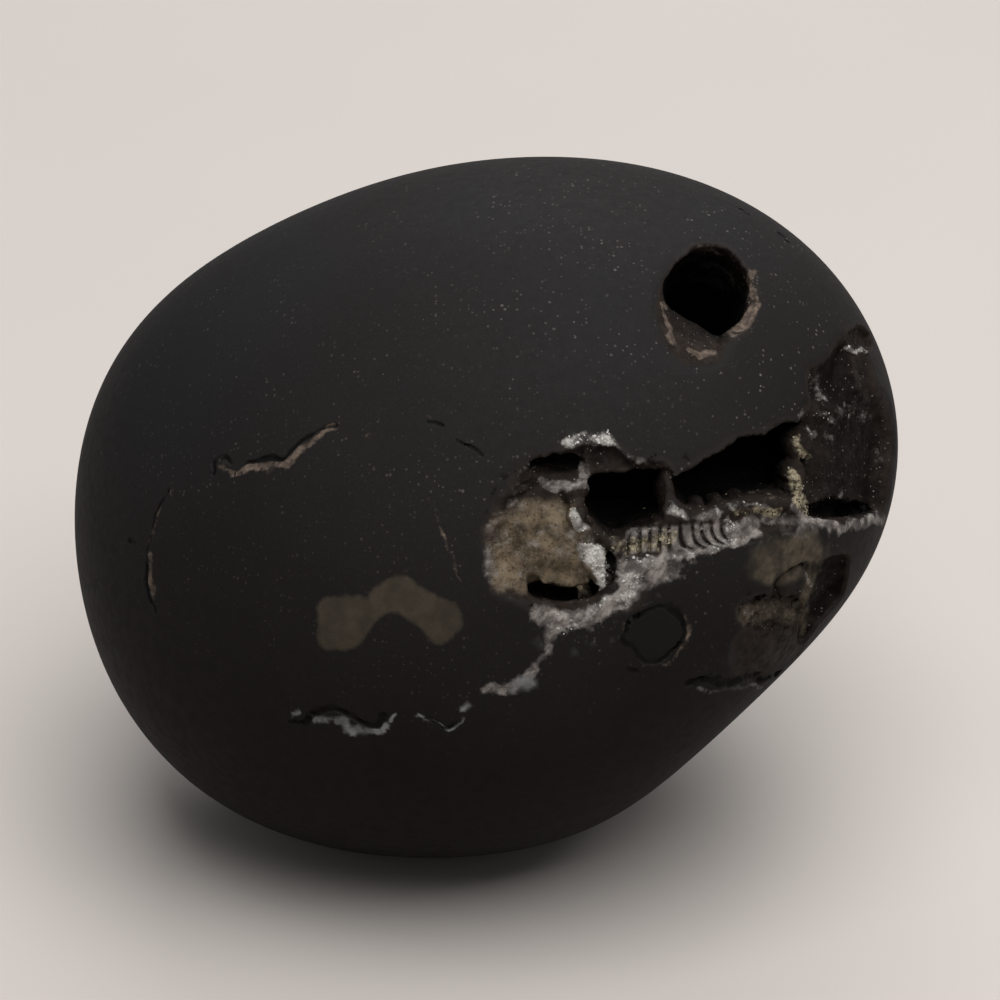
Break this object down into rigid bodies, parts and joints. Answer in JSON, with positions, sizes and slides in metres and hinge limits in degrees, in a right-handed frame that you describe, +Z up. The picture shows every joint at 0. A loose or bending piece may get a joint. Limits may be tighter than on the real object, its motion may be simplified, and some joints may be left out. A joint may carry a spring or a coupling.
{
  "type": "shaligram ammonite",
  "caption": "River-worn black egg-shaped stone with an ammonite broken open in its face: round mouth, deep hollow, ribs, pale infill and crust, veins and cracks. Rests on a small flat spot.",
  "frame": {"origin": "on the plane of the small flat spot that the stone stands on, under the middle of its bounding box", "axes": "+Z up, +X to the right along the stone's length, and the broken face with the ammonite looks towards -Y"},
  "size_m": [0.082, 0.072, 0.0696],
  "materials": {
    "black_limestone": "worn satin near-black stone with tan, grey and white infill and crust in the broken ammonite"
  },
  "bodies": {
    "root": {"shaligram_stone": "black_limestone"}
  },
  "joints": []
}
